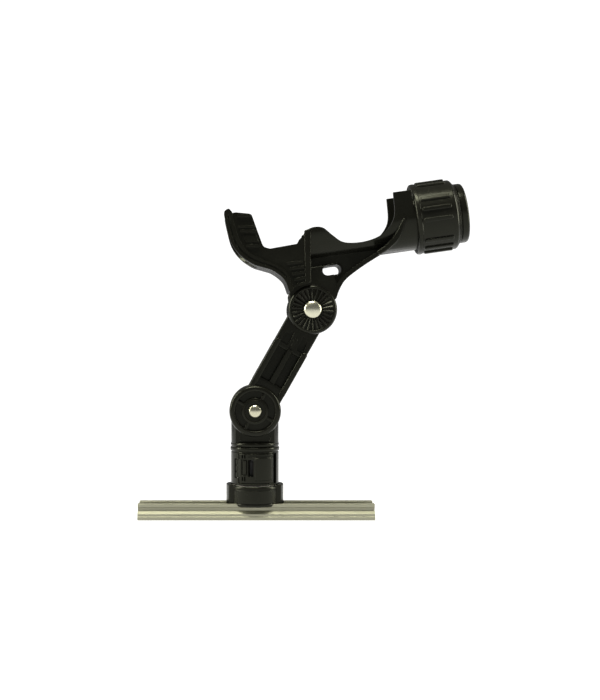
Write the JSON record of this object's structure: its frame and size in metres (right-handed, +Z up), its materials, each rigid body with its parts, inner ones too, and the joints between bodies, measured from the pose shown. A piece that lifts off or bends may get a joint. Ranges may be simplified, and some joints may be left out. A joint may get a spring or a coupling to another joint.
{
  "type": "rod holder",
  "caption": "Track-mounted fishing rod holder: a swivelling quick-release base, a hinged extension arm, and a forked cradle with a turning collar that locks the rod in.",
  "frame": {"origin": "centre of the track's flat underside", "axes": "+X along the track towards the collar end of the cradle, +Y towards the far side with the hand knob, +Z up from the surface the track is screwed to"},
  "size_m": [0.2852, 0.0688, 0.2931],
  "materials": {
    "black_plastic": "satin glass-filled nylon",
    "post_nylon": "satin",
    "pale_acetal": "smooth",
    "anodised_aluminium": "satin anodised",
    "stainless_steel": "machined",
    "spring_steel": "drawn wire",
    "polished_bolt": "polished dome",
    "brass_insert": "machined",
    "joint_rubber": "matt"
  },
  "bodies": {
    "track": {"track_rail": "anodised_aluminium"},
    "base": {"base_housing": "black_plastic", "track_tee_bolt": "stainless_steel", "tee_bolt_washer": "stainless_steel", "tee_bolt_nut": "stainless_steel", "lock_post": "post_nylon", "post_screw_1": "stainless_steel", "post_screw_2": "stainless_steel", "post_screw_3": "stainless_steel", "post_screw_4": "stainless_steel", "swivel_bushing": "pale_acetal", "post_snap_ring": "spring_steel"},
    "lock": {"lock_housing": "black_plastic", "neck": "black_plastic", "neck_roll_pin": "spring_steel", "lever_hinge_pin": "stainless_steel", "lever_spring": "spring_steel"},
    "lever": {"release_lever": "black_plastic"},
    "arm": {"extension_arm": "black_plastic", "lower_washer_near": "joint_rubber", "lower_washer_far": "joint_rubber", "lower_pivot_bolt": "polished_bolt", "lower_nut_washer": "stainless_steel", "lower_pivot_nut": "stainless_steel", "upper_washer_near": "joint_rubber", "upper_washer_far": "joint_rubber"},
    "cradle": {"cradle_body": "black_plastic", "upper_carriage_bolt": "polished_bolt", "knob_washer": "stainless_steel", "collar_snap_wire": "spring_steel", "collar_friction_strip": "joint_rubber"},
    "knob": {"adjust_knob": "black_plastic", "knob_insert": "brass_insert"},
    "collar": {"locking_collar": "black_plastic", "collar_end_ring": "black_plastic"}
  },
  "joints": [
    {"name": "base_slide", "type": "slide", "parent": "track", "child": "base", "axis": [1, 0, 0], "range_m": [-0.075, 0.077]},
    {"name": "lock_swivel", "type": "hinge", "parent": "base", "child": "lock", "pos_m": [-0.001, 0, 0.045], "axis": [0, 0, 1], "continuous": true},
    {"name": "lever_pull", "type": "hinge", "parent": "lock", "child": "lever", "pos_m": [-0.0155, -0.01133, 0.0443], "axis": [0, 0, -1], "range_deg": [0, 40], "stiffness_Nm_per_rad": 0.05, "springref_deg": -20},
    {"name": "lower_hinge", "type": "hinge", "parent": "lock", "child": "arm", "pos_m": [-0.001, 0, 0.0935], "axis": [0, 1, 0], "range_deg": [-119, 30]},
    {"name": "upper_hinge", "type": "hinge", "parent": "arm", "child": "cradle", "pos_m": [0.048, 0, 0.1801], "axis": [0, 1, 0], "range_deg": [-50, 50]},
    {"name": "knob_turn", "type": "hinge", "parent": "cradle", "child": "knob", "pos_m": [0.048, 0.0304, 0.1801], "axis": [0, 1, 0], "continuous": true},
    {"name": "collar_turn", "type": "hinge", "parent": "cradle", "child": "collar", "pos_m": [0.15081, 0, 0.26049], "axis": [0.9903, 0, 0.1392], "range_deg": [0, 90]}
  ]
}
